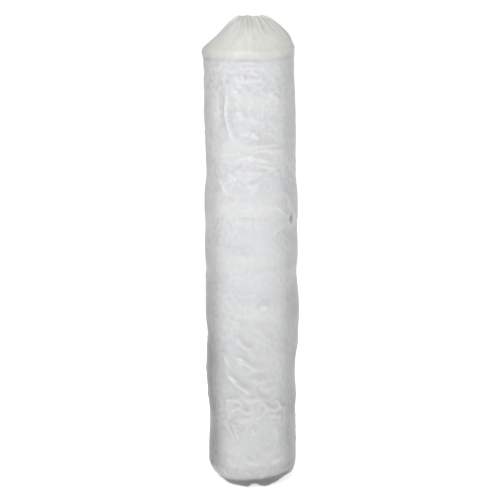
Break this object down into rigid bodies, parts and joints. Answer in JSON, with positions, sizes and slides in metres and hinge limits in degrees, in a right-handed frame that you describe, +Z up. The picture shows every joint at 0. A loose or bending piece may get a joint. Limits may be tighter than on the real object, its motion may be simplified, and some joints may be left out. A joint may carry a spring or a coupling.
{
  "type": "tree guard tube pack",
  "caption": "Nest of hooped white tree guard tubes with ratchet ties, packed upright in a clear film bag with a gathered top.",
  "frame": {"origin": "on the tubes' axis, on the surface that the pack stands on", "axes": "+Z up along the tubes, towards the gathered neck; -Y is the front; +X is to the right seen from the front"},
  "size_m": [0.1216, 0.1216, 0.6403],
  "materials": {
    "tube_plastic": "white polypropylene, satin, slightly milky",
    "tie_nylon": "natural nylon",
    "film": "thin polythene film, clear but milky where it is creased"
  },
  "bodies": {
    "nest": {"guard_tube_1": "tube_plastic", "tie_1_upper": "tie_nylon", "tie_1_lower": "tie_nylon", "film_foot": "film"},
    "tube_2": {"guard_tube_2": "tube_plastic", "tie_2_upper": "tie_nylon", "tie_2_lower": "tie_nylon"},
    "tube_3": {"guard_tube_3": "tube_plastic", "tie_3_upper": "tie_nylon", "tie_3_lower": "tie_nylon"},
    "tube_4": {"guard_tube_4": "tube_plastic", "tie_4_upper": "tie_nylon", "tie_4_lower": "tie_nylon"},
    "tube_5": {"guard_tube_5": "tube_plastic", "tie_5_upper": "tie_nylon", "tie_5_lower": "tie_nylon"},
    "bag": {"film_bag": "film"}
  },
  "joints": [
    {"name": "bag_lift", "type": "slide", "parent": "nest", "child": "bag", "axis": [0, 0, 1], "range_m": [0, 0.65]},
    {"name": "tube_2_slide", "type": "slide", "parent": "nest", "child": "tube_2", "axis": [0, 0, 1], "range_m": [0, 0.0035]},
    {"name": "tube_3_slide", "type": "slide", "parent": "nest", "child": "tube_3", "axis": [0, 0, 1], "range_m": [0, 0.008]},
    {"name": "tube_4_slide", "type": "slide", "parent": "nest", "child": "tube_4", "axis": [0, 0, 1], "range_m": [0, 0.012]},
    {"name": "tube_5_slide", "type": "slide", "parent": "nest", "child": "tube_5", "axis": [0, 0, 1], "range_m": [0, 0.016]}
  ]
}
